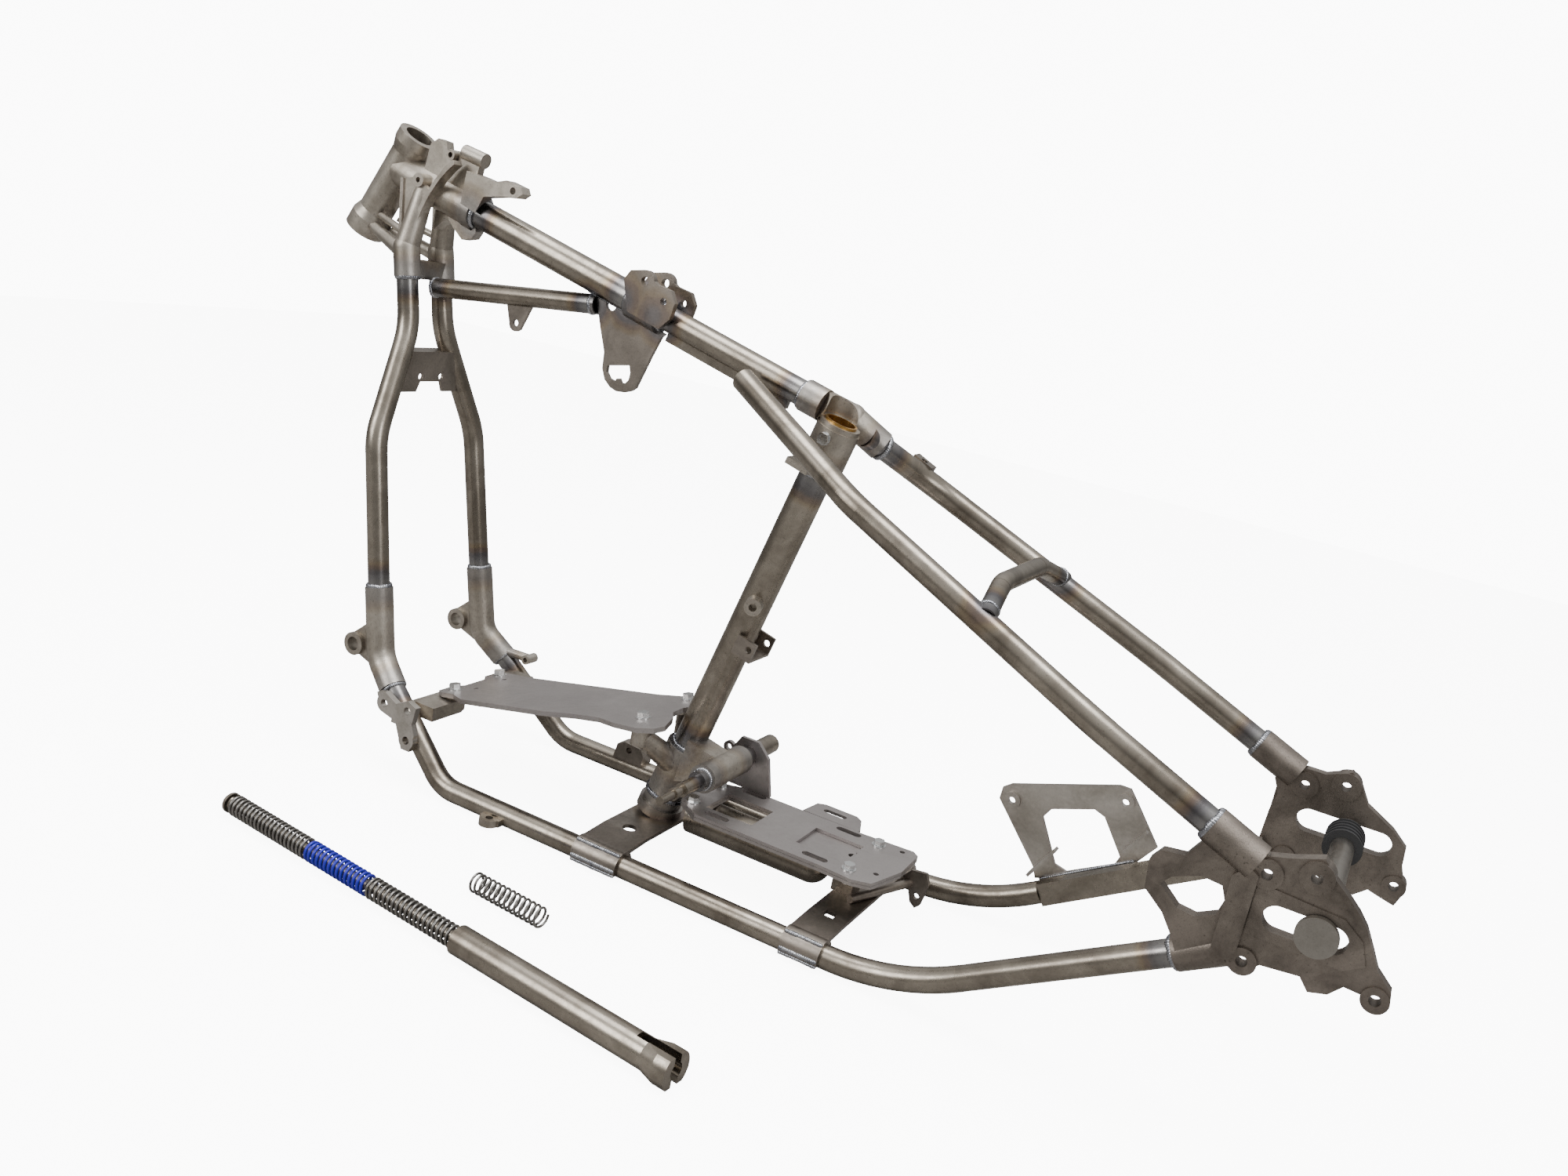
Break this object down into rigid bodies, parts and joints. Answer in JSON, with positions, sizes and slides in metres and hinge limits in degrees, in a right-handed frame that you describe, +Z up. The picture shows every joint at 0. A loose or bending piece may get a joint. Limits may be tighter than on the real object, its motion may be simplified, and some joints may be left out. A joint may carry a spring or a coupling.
{
  "type": "rigid motorcycle frame",
  "caption": "Bare steel rigid motorcycle cradle frame with neck, wishbone downtubes, engine and transmission plates, sliding rear axle, and a loose sprung seat plunger and spring",
  "frame": {"origin": "the centre of the rear axle on the frame's centre plane, with the axle a little behind the middle of its slots", "axes": "+X to the rear of the frame, +Y along the axle to the frame's right, +Z up; the two lower rails lie level"},
  "size_m": [1.5151, 0.6322, 0.836],
  "materials": {
    "mill_tube": "satin mill finish, bare",
    "cast_steel": "blasted casting",
    "dark_casting": "dark blasted casting",
    "dark_plate": "hot rolled, dark",
    "sheet_steel": "bare sheet",
    "bright_plate": "bare ground plate",
    "zinc": "zinc plated",
    "bronze": "turned bronze",
    "axle_steel": "turned steel",
    "black_collar": "matt black",
    "blue_spring": "blue lacquer",
    "spring_steel": "oiled spring steel"
  },
  "bodies": {
    "frame": {"neck_casting": "cast_steel", "neck_gusset": "cast_steel", "neck_arms": "cast_steel", "neck_lugs": "cast_steel", "backbone_front": "mill_tube", "backbone_rear": "mill_tube", "backbone_strip": "mill_tube", "top_engine_bracket": "sheet_steel", "engine_hanger": "sheet_steel", "brace_tube": "mill_tube", "brace_tab": "sheet_steel", "downtube_left": "mill_tube", "downtube_right": "mill_tube", "downtube_bracket": "sheet_steel", "front_forging_left": "cast_steel", "front_forging_right": "cast_steel", "engine_pads": "cast_steel", "side_stand_plate": "bright_plate", "engine_plate": "dark_plate", "engine_plate_bolts": "zinc", "lower_rail_left": "mill_tube", "lower_rail_right": "mill_tube", "rail_bar_right": "mill_tube", "rail_lug_left": "cast_steel", "rail_clamp_right": "sheet_steel", "front_crossmember": "sheet_steel", "rear_crossmember": "sheet_steel", "centre_tube": "mill_tube", "rear_post": "mill_tube", "rear_bar": "sheet_steel", "seat_post_casting": "cast_steel", "seat_post_tube": "mill_tube", "seat_post_boss": "cast_steel", "seat_post_bracket": "sheet_steel", "seat_post_head": "cast_steel", "seat_post_bush": "bronze", "head_clamp_bolt": "zinc", "cross_shaft": "mill_tube", "hoop_plate": "dark_plate", "transmission_plate_lower": "dark_plate", "transmission_plate_upper": "dark_plate", "slotted_tab": "dark_plate", "transmission_bolts": "zinc", "upper_rail_left": "mill_tube", "upper_rail_right": "mill_tube", "upper_rail_tab": "sheet_steel", "cross_brace": "mill_tube", "toolbox_bracket": "bright_plate", "axle_plate_left": "dark_casting", "axle_plate_right": "dark_casting"},
    "axle": {"rear_axle": "axle_steel"},
    "axle_collar": {"axle_collar": "black_collar"},
    "plunger": {"plunger_tube": "mill_tube"},
    "plunger_rod": {"plunger_rod": "mill_tube", "plunger_spring_long": "spring_steel", "plunger_spring_blue": "blue_spring", "plunger_spring_short": "spring_steel"},
    "loose_spring": {"loose_spring": "spring_steel"}
  },
  "joints": [
    {"name": "axle_slide", "type": "slide", "parent": "frame", "child": "axle", "axis": [1, 0, 0], "range_m": [-0.035, 0.014]},
    {"name": "collar_turn", "type": "hinge", "parent": "axle", "child": "axle_collar", "pos_m": [0, 0.116, 0], "axis": [0, 1, 0], "continuous": true},
    {"name": "plunger_lift", "type": "slide", "parent": "frame", "child": "plunger", "axis": [0, 0, 1], "range_m": [0, 0.12]},
    {"name": "plunger_slide", "type": "slide", "parent": "plunger", "child": "plunger_rod", "axis": [0.9949, -0.1007, 0], "range_m": [0, 0.22]},
    {"name": "loose_spring_lift", "type": "slide", "parent": "frame", "child": "loose_spring", "axis": [0, 0, 1], "range_m": [0, 0.12]}
  ]
}
